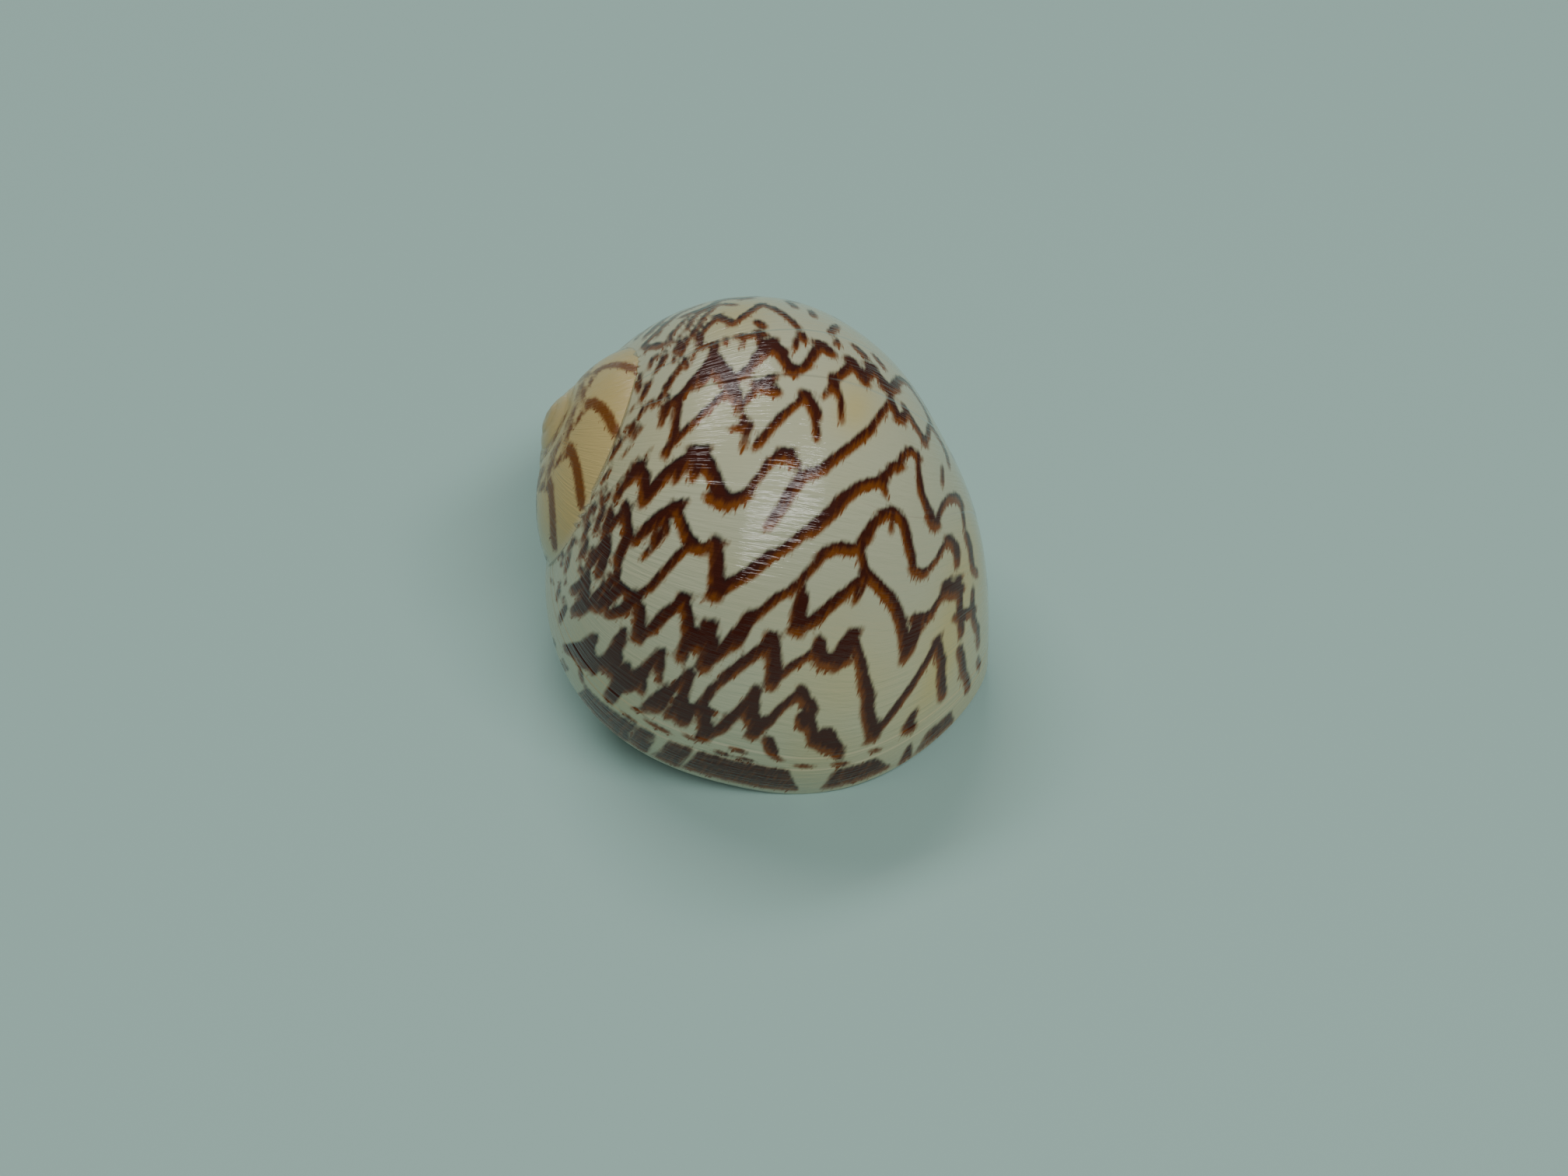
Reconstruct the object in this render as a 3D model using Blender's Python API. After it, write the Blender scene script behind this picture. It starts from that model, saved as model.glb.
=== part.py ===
"""Natica fulminea, a moon-snail shell with its limy lid, at rest on the aperture side. Metres, +Z up.

The shell is one outline swept round a coiling axis. Age is counted in turns: 0 at the lip, -1 one turn
earlier. Angle is measured round the whorl's outline: 0 faces outwards, -90 the apex, 90 the base.
"""

import math

import bmesh
import bpy
import numpy as np
from mathutils import Matrix

MM = 0.001

# The whorl's outline at the lip: its centre, and the distance to its surface every 30 degrees from -180.
CENTRE_RADIUS = 6.65
CENTRE_DEPTH = 16.25
OUTLINE_AT_LIP = (10.0, 11.0, 14.1, 12.75, 10.5, 8.45, 7.3, 7.55, 9.1, 11.7, 13.7, 11.0)
# Half a turn back and earlier the base is flatter, by this much at the lip's own size.
OUTLINE_EARLIER = (0.5, 0.4, 0.3, -0.1, -0.3, 0.05, 0.2, -0.15, -0.7, 0.3, 1.1, 0.8)

# How many times larger each measure is after one more turn, and how that slows along the last one.
RADIUS_GROWTH = 1.76
DEPTH_GROWTH = 1.90
OUTLINE_GROWTH = 1.94
RADIUS_SLOWING = -0.09
DEPTH_SLOWING = 0.0
OUTLINE_SLOWING = -0.08
FIRST_AGE = -4.4
STRETCH = 0.875
STRETCH_ENDS = (-0.875, -1.75, -2.625, -3.5)
STRETCH_OVERLAP = 0.04
STRETCH_TAPER = 0.1

# The lip leans: at the suture it has run ahead of the outward side, at the base it lags (in turns).
LIP_LEAN = (0.0, 0.06, 0.10, 0.071, 0.035, 0.013, 0.0, -0.013, -0.05, -0.113, -0.155, -0.065)
LEAN_FADES_OVER = 0.4

UMBILICUS_RADIUS = 2.3
AXIS_RADIUS = 0.3
# The pillar in the middle: depth below the apex and radius, down to the floor of the umbilicus.
CORE = ((0.2, 0.08), (0.26, 0.4), (0.5, 0.65), (1.2, 0.7), (8.0, 0.9), (17.0, 2.0))
FUNICLE_HEIGHT = 1.1
FUNICLE_ANGLE = 160.0
FUNICLE_WIDTH = 15.0
COLUMELLA_THICKNESS = 2.3

WALL = 1.1
LIP_EDGE = 0.5
LIP_TAPER = 0.05
LIP_ROUNDING = 0.2
COLUMELLA_ROUNDING = 0.9
HOLLOW_FROM = -0.79
CALLUS = 0.35

LID_RECESS = 0.022
LID_THICKNESS = 0.9
LID_GAP = 0.33
LID_CORNER_GAP = 0.9
LID_BULGE = 0.5
LID_CENTRE = (9.2, 16.0, -0.02)

# The way it lies: turned about its own axis, then the apex lifted, then turned on the table.
ROLL = -110.1
APEX_LIFT = 32.0
TURN = -9.1

SHELL_COLOUR = (0.60, 0.52, 0.40)
LID_COLOUR = (0.36, 0.33, 0.20)

AROUND = 48
ROWS_PER_TURN = 48
EARLY_ROWS_PER_TURN = 32
LID_RINGS = 7


def station_spline(values, degrees):
    """A smooth closed curve through evenly spaced stations, the first of them at -180 degrees."""
    values = np.array(values, float)
    count = len(values)
    step = 360.0 / count
    after = np.roll(values, -1)
    before = np.roll(values, 1)
    matrix = 4.0 * np.eye(count) + np.roll(np.eye(count), 1, axis=1) + np.roll(np.eye(count), -1, axis=1)
    bend = np.linalg.solve(matrix, 6.0 * (after - 2.0 * values + before))
    place = ((np.asarray(degrees, float) + 180.0) % 360.0) / step
    index = np.floor(place).astype(int) % count
    part = place - np.floor(place)
    following = (index + 1) % count
    straight = values[index] * (1.0 - part) + values[following] * part
    left = ((1.0 - part) ** 3 - (1.0 - part)) * bend[index]
    right = (part**3 - part) * bend[following]
    return straight + (left + right) / 6.0


def smooth_step(low, high, value):
    share = np.clip((value - low) / (high - low), 0.0, 1.0)
    return share * share * (3.0 - 2.0 * share)


def smooth_larger(first, second, softness):
    return 0.5 * (first + second + np.sqrt((first - second) ** 2 + softness**2))


def size_at(age, growth, slowing):
    """The size at an age as a share of the size at the lip."""
    last_turn = np.clip(age + 1.0, 0.0, None)
    return np.exp(math.log(growth) * age + 0.5 * slowing * (last_turn**2 - 1.0))


def outline(age, angle, inset=0.0, column=0.0, funicle=1.0):
    """Radius from the coiling axis and depth below the apex, in mm, of points on the whorl's outline."""
    scale = size_at(age, OUTLINE_GROWTH, OUTLINE_SLOWING)
    earlier = smooth_step(0.0, 0.5, -age)
    reach = station_spline(OUTLINE_AT_LIP, angle) + earlier * station_spline(OUTLINE_EARLIER, angle)
    reach = reach * scale - inset
    radius = CENTRE_RADIUS * size_at(age, RADIUS_GROWTH, RADIUS_SLOWING)
    depth = CENTRE_DEPTH * size_at(age, DEPTH_GROWTH, DEPTH_SLOWING)
    outwards = radius + reach * np.cos(np.radians(angle))
    downwards = depth + reach * np.sin(np.radians(angle))
    open_core = smooth_step(-1.12, -0.97, age)
    ridge = np.exp(-(((angle % 360.0) - FUNICLE_ANGLE) / FUNICLE_WIDTH) ** 2) * smooth_step(-0.8, -0.5, age)
    core = UMBILICUS_RADIUS * scale - FUNICLE_HEIGHT * ridge * funicle + column + np.minimum(inset, 0.3)
    core = core * open_core + AXIS_RADIUS * scale * (1.0 - open_core)
    return smooth_larger(outwards, core, 0.9 * scale), downwards


def place_on_coil(radius, depth, age):
    """Points of the shell about its own axis, apex at the origin and the base below it."""
    turn = -2.0 * math.pi * age
    return np.stack([radius * np.cos(turn), radius * np.sin(turn), -depth], axis=-1)


def resting_turn():
    lift = Matrix.Rotation(math.radians(APEX_LIFT - 90.0), 4, "Y")
    return Matrix.Rotation(math.radians(TURN), 4, "Z") @ lift @ Matrix.Rotation(math.radians(ROLL), 4, "Z")


def tube(name, rings, first_end=None, last_end=None):
    """A closed solid through rings of points, one ring after another, each end closed by a fan."""
    rows, columns = rings.shape[:2]
    points = rings.reshape(-1, 3)
    ends = [rings[0].mean(axis=0) if first_end is None else first_end]
    ends.append(rings[-1].mean(axis=0) if last_end is None else last_end)
    faces = []
    for row in range(rows - 1):
        for column in range(columns):
            beside = (column + 1) % columns
            here = row * columns
            faces.append((here + column, here + beside, here + columns + beside, here + columns + column))
    start = rows * columns
    last = (rows - 1) * columns
    for column in range(columns):
        beside = (column + 1) % columns
        faces.append((start, beside, column))
        faces.append((start + 1, last + column, last + beside))
    turned = np.vstack([points, ends]) @ np.array(resting_turn().to_3x3()).T
    mesh = bpy.data.meshes.new(name)
    mesh.from_pydata((turned * MM).tolist(), [], faces)
    skin = bmesh.new()
    skin.from_mesh(mesh)
    if skin.calc_volume(signed=True) < 0.0:
        bmesh.ops.reverse_faces(skin, faces=skin.faces)
    skin.to_mesh(mesh)
    skin.free()
    solid = bpy.data.objects.new(name, mesh)
    bpy.context.collection.objects.link(solid)
    return solid


def boolean(solid, other, operation):
    """Applies a Boolean with the other solid and removes it."""
    change = solid.modifiers.new(operation, "BOOLEAN")
    change.operation = operation
    change.object = other
    change.solver = "MANIFOLD"
    bpy.context.view_layer.objects.active = solid
    bpy.ops.object.modifier_apply(modifier=change.name)
    bpy.data.objects.remove(other, do_unlink=True)


def ages_between(first, last, per_turn):
    count = max(2, int(round((last - first) * per_turn)))
    return np.linspace(first, last, count + 1)


def lean_share(ages):
    return smooth_step(-LEAN_FADES_OVER, 0.0, ages)


def hollow_wall(age):
    """The wall's thickness, which thins out to the lip."""
    thin = smooth_step(-LIP_TAPER, 0.0, age)
    full = WALL * size_at(age, OUTLINE_GROWTH, OUTLINE_SLOWING) / size_at(0.0, OUTLINE_GROWTH, OUTLINE_SLOWING)
    return full * (1.0 - thin) + LIP_EDGE * thin


def hollow_outline(age, leaning, angles, gap=0.0):
    column = COLUMELLA_THICKNESS * size_at(age, OUTLINE_GROWTH, OUTLINE_SLOWING)
    return outline(leaning, angles, inset=hollow_wall(age) + gap, column=column + gap, funicle=0.0)


def stretch_inset(age, first, last):
    """A stretch slims at each end to run into the next one, and is glazed over where the lip joins it."""
    before = np.clip((first + STRETCH_OVERLAP - age) / STRETCH_OVERLAP, 0.0, None)
    after = np.clip((age - last) / STRETCH_OVERLAP, 0.0, None) * (last < 0.0)
    slim = STRETCH_TAPER * size_at(age, OUTLINE_GROWTH, 0.0) * (before**2 + after**2)
    glazed = smooth_step(-1.6, -1.3, age) * (1.0 - smooth_step(-0.98, -0.9, age))
    return slim - CALLUS * glazed


def rounding(angles):
    """How far the rim's crest stands in front of its edges: little at the lip, more at the columella."""
    inner = smooth_step(115.0, 150.0, angles % 360.0) * (1.0 - smooth_step(225.0, 250.0, angles % 360.0))
    return LIP_ROUNDING + (COLUMELLA_ROUNDING - LIP_ROUNDING) * inner


def make_newest_stretch(angles):
    """The last whorl as a cup: outside up to the lip, over its rim, and back down the hollow."""
    first = -STRETCH
    lean = station_spline(LIP_LEAN, angles)
    rings = []
    for age in ages_between(first, 0.0, ROWS_PER_TURN):
        leaning = age + lean * lean_share(age)
        rings.append(place_on_coil(*outline(leaning, angles, inset=stretch_inset(age, first, 0.0)), leaning))
    inside = []
    for age in ages_between(HOLLOW_FROM, 0.0, EARLY_ROWS_PER_TURN):
        leaning = age + lean * lean_share(age)
        inside.append(place_on_coil(*hollow_outline(age, leaning, angles), leaning))
    forward = np.linalg.svd(rings[-1] - rings[-1].mean(axis=0))[2][2]
    forward = -forward if forward[1] > 0.0 else forward
    crest = (rings[-1] + inside[-1]) / 2.0 + forward * rounding(angles)[:, None]
    return tube("shell", np.array(rings + [crest] + inside[::-1]))


def make_shell(angles):
    """Every whorl from the nucleus to the lip, in stretches that each go less than once round."""
    shell = make_newest_stretch(angles)
    for last in STRETCH_ENDS:
        first = max(last - STRETCH, FIRST_AGE)
        rings = []
        for age in ages_between(first, last + STRETCH_OVERLAP, EARLY_ROWS_PER_TURN):
            radius, depth = outline(age, angles, inset=stretch_inset(age, first, last))
            rings.append(place_on_coil(radius, depth, age))
        boolean(shell, tube("stretch", np.array(rings)), "UNION")
    boolean(shell, make_core(), "UNION")
    return shell


def make_core():
    """The pillar of the early whorls, round the coiling axis."""
    turn = np.arange(16) / 16.0
    rings = [place_on_coil(np.full(16, radius), np.full(16, depth), turn) for depth, radius in CORE]
    return tube("core", np.array(rings))


def make_clearance(angles):
    """The older whorl inside the hollow, thickened by the gap that the lid keeps from it."""
    rings = []
    for age in ages_between(-1.75, -0.8, EARLY_ROWS_PER_TURN):
        radius, depth = outline(age, angles, inset=stretch_inset(age, -2.0, -0.5) - LID_GAP)
        rings.append(place_on_coil(radius, depth, age))
    return tube("clearance", np.array(rings))


def make_lid(angles):
    """A plate just inside the lip, bulging a little, with a gap to the wall all round."""
    front_age = station_spline(LIP_LEAN, angles) - LID_RECESS
    gap = LID_GAP + LID_CORNER_GAP * np.exp(-(((angles - 112.0) / 18.0) ** 2))
    radius, depth = hollow_outline(-LID_RECESS, front_age, angles, gap)
    front = place_on_coil(radius, depth, front_age)
    thickness = LID_THICKNESS / (2.0 * math.pi * radius)
    back_age = front_age - thickness
    back = place_on_coil(*hollow_outline(-LID_RECESS - thickness, back_age, angles, gap), back_age)
    outwards = np.linalg.svd(front - front.mean(axis=0))[2][2]
    outwards = -outwards if outwards[1] > 0.0 else outwards
    centre = place_on_coil(*LID_CENTRE)
    centre = centre + outwards * ((front.mean(axis=0) - centre) @ outwards)
    rings = []
    for face, low in ((back, -LID_THICKNESS), (front, 0.0)):
        middle = centre + outwards * low
        height = (face - middle) @ outwards
        flat = face - middle - height[:, None] * outwards
        rows = []
        for ring in range(LID_RINGS, 0, -1):
            share = ring / LID_RINGS
            rise = height * share**2 + LID_BULGE * (1.0 - share**2)
            rows.append(middle + flat * share + rise[:, None] * outwards)
        rings.extend(rows[::-1] if low < 0.0 else rows)
    tip = centre + outwards * LID_BULGE
    return tube("operculum", np.array(rings), tip - outwards * LID_THICKNESS, tip)


def give_material(solid, name, colour, roughness):
    """A plain surface of one colour; the fine looks are made elsewhere."""
    material = bpy.data.materials.new(name)
    material.use_nodes = True
    shader = material.node_tree.nodes["Principled BSDF"]
    shader.inputs["Base Color"].default_value = (*colour, 1.0)
    shader.inputs["Roughness"].default_value = roughness
    shader.inputs["Metallic"].default_value = 0.0
    solid.data.materials.clear()
    solid.data.materials.append(material)


def settle(solids):
    """Moves everything together so that it stands on the ground, its middle over the origin."""
    corners = np.array([vertex.co for solid in solids for vertex in solid.data.vertices])
    low = corners.min(axis=0)
    high = corners.max(axis=0)
    middle = (low + high) / 2.0
    for solid in solids:
        solid.data.transform(Matrix.Translation((-middle[0], -middle[1], -low[2])))
        solid.data.update()


def main():
    for other in list(bpy.data.objects):
        bpy.data.objects.remove(other, do_unlink=True)
    angles = np.arange(AROUND) * 360.0 / AROUND - 180.0
    shell = make_shell(angles)
    lid = make_lid(angles)
    boolean(lid, make_clearance(angles), "DIFFERENCE")
    settle([shell, lid])
    give_material(shell, "glossy shell", SHELL_COLOUR, 0.2)
    give_material(lid, "limy lid", LID_COLOUR, 0.35)


main()
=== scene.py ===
"""Natica fulminea, a moon-snail shell with its limy lid in place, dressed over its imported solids."""

import math

import bpy
import numpy as np
from mathutils import Matrix, Vector, kdtree


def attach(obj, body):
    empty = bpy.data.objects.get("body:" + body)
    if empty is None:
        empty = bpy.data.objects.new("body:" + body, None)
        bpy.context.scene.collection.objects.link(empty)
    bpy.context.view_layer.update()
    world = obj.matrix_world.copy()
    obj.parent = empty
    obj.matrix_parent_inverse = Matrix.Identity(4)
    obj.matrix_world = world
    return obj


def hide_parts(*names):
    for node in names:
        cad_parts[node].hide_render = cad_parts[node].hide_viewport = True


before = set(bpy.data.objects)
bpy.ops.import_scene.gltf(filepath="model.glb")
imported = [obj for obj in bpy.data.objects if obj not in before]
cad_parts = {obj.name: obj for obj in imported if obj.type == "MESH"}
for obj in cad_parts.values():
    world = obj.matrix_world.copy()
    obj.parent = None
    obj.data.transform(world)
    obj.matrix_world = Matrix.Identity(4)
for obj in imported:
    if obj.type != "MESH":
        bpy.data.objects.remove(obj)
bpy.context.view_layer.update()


# The view. A camera a hand's breadth from the shell, looking down on its back at about 48 degrees with the
# apex to the left and the lip towards the viewer, held a few degrees off level.
MM = 0.001
CAMERA_AT = (5.012, -83.960, 95.649)
CAMERA_LOOKS = (-0.03197, 0.67119, -0.74060)
CAMERA_UP = (0.02846, 0.74129, 0.67058)
FOCAL_LENGTH = 53.32
SENSOR_WIDTH = 36.0
NEAREST_SEEN = 0.005
FARTHEST_SEEN = 5.0


def stand(thing, across, upward, backward, place):
    """Puts a camera or a light at a place in metres, with its three axes along these directions."""
    thing.matrix_world = Matrix((
        (across.x, upward.x, backward.x, place[0]),
        (across.y, upward.y, backward.y, place[1]),
        (across.z, upward.z, backward.z, place[2]),
        (0.0, 0.0, 0.0, 1.0),
    ))


bpy.ops.object.select_all(action="DESELECT")
looks = Vector(CAMERA_LOOKS).normalized()
right = looks.cross(Vector(CAMERA_UP)).normalized()
camera_data = bpy.data.cameras.new("camera")
camera_data.lens = FOCAL_LENGTH
camera_data.sensor_width = SENSOR_WIDTH
camera_data.clip_start = NEAREST_SEEN
camera_data.clip_end = FARTHEST_SEEN
camera = bpy.data.objects.new("camera", camera_data)
bpy.context.scene.collection.objects.link(camera)
stand(camera, right, right.cross(looks), -looks, [part * MM for part in CAMERA_AT])
bpy.context.scene.camera = camera


# The shell. One calcium carbonate tube that the snail grew at its open end, coiling and widening as it
# went, porcelain-smooth outside. It is swept here as it grew, so it is not started from a primitive.
# Age is in turns, 0 at the lip; angle goes round the whorl: 0 outwards, -90 the apex, 90 the base.

# Sizes are in mm, ages and leans in turns, angles in degrees, and growth is per turn.
CENTRE_RADIUS = 6.65
CENTRE_DEPTH = 16.25
OUTLINE_AT_LIP = (10.0, 11.0, 14.1, 12.75, 10.5, 8.45, 7.3, 7.55, 9.1, 11.7, 13.7, 11.0)
OUTLINE_EARLIER = (0.5, 0.4, 0.3, -0.1, -0.3, 0.05, 0.2, -0.15, -0.7, 0.3, 1.1, 0.8)
EARLIER_BY = 0.5
RADIUS_GROWTH = 1.76
DEPTH_GROWTH = 1.90
OUTLINE_GROWTH = 1.94
RADIUS_SLOWING = -0.09
DEPTH_SLOWING = 0.0
OUTLINE_SLOWING = -0.08
FIRST_AGE = -4.4
STRETCH = 0.875
STRETCH_ENDS = (-0.875, -1.75, -2.625, -3.5)
STRETCH_OVERLAP = 0.02
STRETCH_TAPER = 0.015
LIP_LEAN = (0.0, 0.06, 0.10, 0.071, 0.035, 0.013, 0.0, -0.013, -0.05, -0.113, -0.155, -0.065)
LEAN_FADES_OVER = 0.4
UMBILICUS_RADIUS = 2.3
UMBILICUS_OPENS = (-1.12, -0.97)
UMBILICUS_SOFTENING = 0.9
UMBILICUS_INSET = 0.3
AXIS_RADIUS = 0.3
CORE = ((0.2, 0.08), (0.26, 0.4), (0.5, 0.65), (1.2, 0.7), (8.0, 0.9), (17.0, 2.0))
CORE_AROUND = 32
FUNICLE_HEIGHT = 1.1
FUNICLE_ANGLE = 160.0
FUNICLE_WIDTH = 15.0
FUNICLE_RISES = (-0.8, -0.5)
COLUMELLA_THICKNESS = 2.3
COLUMELLA_FROM = (115.0, 150.0)
COLUMELLA_TO = (225.0, 250.0)
WALL = 1.1
LIP_EDGE = 0.5
LIP_TAPER = 0.05
LIP_ROUNDING = 0.2
COLUMELLA_ROUNDING = 0.9
RIM_SHARES = (0.1, 0.3, 0.5, 0.7, 0.9)
HOLLOW_FROM = -0.79
CALLUS = 0.35
CALLUS_STARTS = (-1.6, -1.3)
CALLUS_STOPS = (-0.98, -0.9)
ROLL = -110.1
APEX_LIFT = 32.0
TURN = -9.1
APEX_AT = (-10.968, 3.199, 13.546)
AROUND = 250
ROWS_PER_TURN = 380
HOLLOW_ROWS_PER_TURN = 64
EARLY_ROWS_PER_TURN = 72
EARLY_AROUND = 120
MEASURED_STEPS = 720


def station_spline(values, degrees):
    """A smooth closed curve through evenly spaced stations, the first of them at -180 degrees."""
    values = np.array(values, float)
    count = len(values)
    step = 360.0 / count
    after = np.roll(values, -1)
    before = np.roll(values, 1)
    one = np.eye(count)
    matrix = 4.0 * one + np.roll(one, 1, axis=1) + np.roll(one, -1, axis=1)
    bend = np.linalg.solve(matrix, 6.0 * (after - 2.0 * values + before))
    place = ((np.asarray(degrees, float) + 180.0) % 360.0) / step
    index = np.floor(place).astype(int) % count
    part = place - np.floor(place)
    following = (index + 1) % count
    straight = values[index] * (1.0 - part) + values[following] * part
    left = ((1.0 - part) ** 3 - (1.0 - part)) * bend[index]
    right_side = (part**3 - part) * bend[following]
    return straight + (left + right_side) / 6.0


def smooth_step(low, high, value):
    """From 0 at low to 1 at high, without a corner at either."""
    share = np.clip((value - low) / (high - low), 0.0, 1.0)
    return share * share * (3.0 - 2.0 * share)


def size_at(age, growth, slowing):
    """The size at an age as a share of the size at the lip."""
    last_turn = np.clip(age + 1.0, 0.0, None)
    return np.exp(math.log(growth) * age + 0.5 * slowing * (last_turn**2 - 1.0))


def outline(age, angle, inset=0.0, column=0.0, funicle=1.0):
    """Radius from the coiling axis and depth below the apex, in mm, of points on the whorl's outline."""
    scale = size_at(age, OUTLINE_GROWTH, OUTLINE_SLOWING)
    earlier = smooth_step(0.0, EARLIER_BY, -age)
    reach = station_spline(OUTLINE_AT_LIP, angle) + earlier * station_spline(OUTLINE_EARLIER, angle)
    reach = reach * scale - inset
    radius = CENTRE_RADIUS * size_at(age, RADIUS_GROWTH, RADIUS_SLOWING)
    depth = CENTRE_DEPTH * size_at(age, DEPTH_GROWTH, DEPTH_SLOWING)
    outwards = radius + reach * np.cos(np.radians(angle))
    downwards = depth + reach * np.sin(np.radians(angle))
    ridge = np.exp(-(((angle % 360.0) - FUNICLE_ANGLE) / FUNICLE_WIDTH) ** 2)
    ridge = ridge * smooth_step(*FUNICLE_RISES, age)
    core = UMBILICUS_RADIUS * scale - FUNICLE_HEIGHT * ridge * funicle
    core = core + column + np.minimum(inset, UMBILICUS_INSET)
    open_core = smooth_step(*UMBILICUS_OPENS, age)
    core = core * open_core + AXIS_RADIUS * scale * (1.0 - open_core)
    softening = np.sqrt((outwards - core) ** 2 + (UMBILICUS_SOFTENING * scale) ** 2)
    return 0.5 * (outwards + core + softening), downwards


def place_on_coil(radius, depth, age):
    """Points of the shell about its own axis, apex at the origin and the base below it."""
    turn = -2.0 * math.pi * age
    return np.stack([radius * np.cos(turn), radius * np.sin(turn), -depth], axis=-1)


resting = (
    Matrix.Rotation(math.radians(TURN), 3, "Z")
    @ Matrix.Rotation(math.radians(APEX_LIFT - 90.0), 3, "Y")
    @ Matrix.Rotation(math.radians(ROLL), 3, "Z")
)


def at_rest(points):
    """The same points as the shell lies, in metres."""
    return (points @ np.array(resting).T + np.array(APEX_AT)) * MM


def tube(name, rings, first_end=None, last_end=None):
    """A closed solid through rings of points, one ring after another, each end closed by a fan."""
    rows, columns = rings.shape[:2]
    points = rings.reshape(-1, 3)
    ends = [rings[0].mean(axis=0) if first_end is None else first_end]
    ends.append(rings[-1].mean(axis=0) if last_end is None else last_end)
    row_starts = np.arange(rows - 1)[:, None] * columns
    here = (row_starts + np.arange(columns)[None, :]).ravel()
    beside = (row_starts + (np.arange(columns)[None, :] + 1) % columns).ravel()
    faces = np.stack([here, beside, beside + columns, here + columns], axis=1).tolist()
    start = rows * columns
    last = (rows - 1) * columns
    for column in range(columns):
        following = (column + 1) % columns
        faces.append((start, following, column))
        faces.append((start + 1, last + column, last + following))
    corners = at_rest(np.vstack([points, ends]))
    mesh = bpy.data.meshes.new(name)
    mesh.from_pydata(corners.tolist(), [], faces)
    whole = np.array([(f[0], f[i], f[i + 1]) for f in faces for i in range(1, len(f) - 1)])
    if np.linalg.det(corners[whole]).sum() < 0.0:
        mesh.flip_normals()
    mesh.update()
    solid = bpy.data.objects.new(name, mesh)
    bpy.context.scene.collection.objects.link(solid)
    return solid


def boolean(solid, other, operation):
    """Applies a Boolean with the other solid and removes it."""
    change = solid.modifiers.new(operation, "BOOLEAN")
    change.operation = operation
    change.object = other
    change.solver = "MANIFOLD"
    bpy.context.view_layer.objects.active = solid
    bpy.ops.object.modifier_apply(modifier=change.name)
    bpy.data.objects.remove(other, do_unlink=True)


def ages_between(first, last, per_turn):
    """Evenly spaced ages from the first to the last, both among them."""
    count = max(2, int(round((last - first) * per_turn)))
    return np.linspace(first, last, count + 1)


def hollow_wall(age):
    """The wall's thickness, which thins out to the lip."""
    thin = smooth_step(-LIP_TAPER, 0.0, age)
    at_lip = size_at(0.0, OUTLINE_GROWTH, OUTLINE_SLOWING)
    full = WALL * size_at(age, OUTLINE_GROWTH, OUTLINE_SLOWING) / at_lip
    return full * (1.0 - thin) + LIP_EDGE * thin


def hollow_outline(age, leaning, around, gap=0.0):
    """The outline of the room inside the mouth, or of the lid that stands a gap inside it."""
    column = COLUMELLA_THICKNESS * size_at(age, OUTLINE_GROWTH, OUTLINE_SLOWING)
    return outline(leaning, around, inset=hollow_wall(age) + gap, column=column + gap, funicle=0.0)


def stretch_inset(age, first, last):
    """A stretch slims at each end to run into the next one, and is glazed over where the lip joins it."""
    before = np.clip((first + STRETCH_OVERLAP - age) / STRETCH_OVERLAP, 0.0, None)
    after = np.clip((age - last) / STRETCH_OVERLAP, 0.0, None) * (last < 0.0)
    slim = STRETCH_TAPER * size_at(age, OUTLINE_GROWTH, 0.0) * (before**2 + after**2)
    glazed = smooth_step(*CALLUS_STARTS, age) * (1.0 - smooth_step(*CALLUS_STOPS, age))
    return slim - CALLUS * glazed


# The points round the outline are spaced evenly in mm, not in degrees.
fine_angles = np.linspace(-180.0, 180.0, MEASURED_STEPS + 1)
halfway = fine_angles[:-1] + 180.0 / MEASURED_STEPS
run = np.concatenate([[0.0], np.cumsum(station_spline(OUTLINE_AT_LIP, halfway))])
angles = np.interp(np.arange(AROUND) / AROUND, run / run[-1], fine_angles)
lean = station_spline(LIP_LEAN, angles)
known_points = []
known_ages = []
known_angles = []
known_inside = []


def leaning_age(age):
    """The age round one row of the shell, which comes to lean as the lip does."""
    return age + lean * smooth_step(-LEAN_FADES_OVER, 0.0, age)


def remember(ring, ring_ages, ring_angles, inside):
    """Keeps where on the shell each point of a ring is, for the pattern drawn on it."""
    known_points.append(ring)
    known_ages.append(np.broadcast_to(ring_ages, ring_angles.shape))
    known_angles.append(ring_angles)
    known_inside.append(np.full(ring_angles.shape, float(inside)))


rings = []
for age in ages_between(-STRETCH, 0.0, ROWS_PER_TURN):
    leaning = leaning_age(age)
    inset = stretch_inset(age, -STRETCH, 0.0)
    rings.append(place_on_coil(*outline(leaning, angles, inset=inset), leaning))
    remember(rings[-1], leaning, angles, 0.0)
hollow = []
for age in ages_between(HOLLOW_FROM, 0.0, HOLLOW_ROWS_PER_TURN):
    leaning = leaning_age(age)
    hollow.append(place_on_coil(*hollow_outline(age, leaning, angles), leaning))
    remember(hollow[-1], leaning, angles, 1.0)
forward = np.linalg.svd(rings[-1] - rings[-1].mean(axis=0))[2][2]
forward = -forward if forward[1] > 0.0 else forward
whole_angles = angles % 360.0
inner_side = smooth_step(*COLUMELLA_FROM, whole_angles) * (1.0 - smooth_step(*COLUMELLA_TO, whole_angles))
rounding = LIP_ROUNDING + (COLUMELLA_ROUNDING - LIP_ROUNDING) * inner_side
rim = []
for share in RIM_SHARES:
    bulge = math.sqrt(1.0 - (2.0 * share - 1.0) ** 2)
    rounded = forward * (rounding * bulge)[:, None]
    rim.append(rings[-1] * (1.0 - share) + hollow[-1] * share + rounded)
    remember(rim[-1], lean, angles, share)
shell = tube("shell_grown", np.array(rings + rim + hollow[::-1]))

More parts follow.
